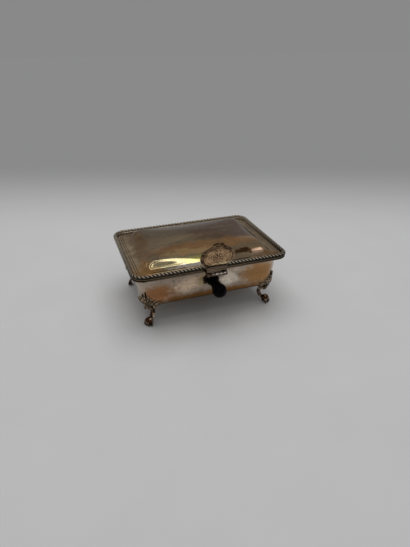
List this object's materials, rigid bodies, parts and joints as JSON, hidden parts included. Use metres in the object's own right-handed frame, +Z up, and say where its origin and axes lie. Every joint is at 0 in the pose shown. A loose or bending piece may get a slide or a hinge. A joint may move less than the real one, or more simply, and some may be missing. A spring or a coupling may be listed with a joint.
{
  "type": "footed table box",
  "caption": "Small rectangular plated-metal table box on paw feet, with a domed, rope-edged lid hinged at the front, an upright oval thumbpiece and a short black knob.",
  "frame": {"origin": "centre of the bounding box, at the level of the soles", "axes": "+X to the right along the front, which carries the hinge and the knob; +Y to the back; +Z up"},
  "size_m": [0.15, 0.1252, 0.0843],
  "materials": {
    "tray": "silver plate over brass, worn and tarnished",
    "tray_rim_wire": "silver plate over brass, worn and tarnished",
    "lid_shell": "silver plate over brass, worn and tarnished",
    "lid_rope_border": "cast white metal, dark in the hollows",
    "hinge": "plated, dark at the joints",
    "thumbpiece": "cast and plated, worn",
    "foot": "cast and plated, worn to copper brown",
    "knob": "turned, ebonised and polished",
    "fixing": "dull"
  },
  "bodies": {
    "base": {"tray": "tray", "tray_rim_wire": "tray_rim_wire", "tray_hinge_leaf": "hinge", "hinge_pin": "hinge", "knob": "knob", "knob_washer": "fixing", "knob_nut": "fixing", "knob_stud": "fixing", "foot_front_right": "foot", "foot_front_left": "foot", "foot_back_right": "foot", "foot_back_left": "foot"},
    "lid": {"lid_shell": "lid_shell", "lid_rope_border": "lid_rope_border", "lid_hinge_leaf": "hinge", "thumbpiece": "thumbpiece"}
  },
  "joints": [
    {"name": "lid_hinge", "type": "hinge", "parent": "base", "child": "lid", "pos_m": [0, -0.05026, 0.0525], "axis": [1, 0, 0], "range_deg": [0, 110]}
  ]
}
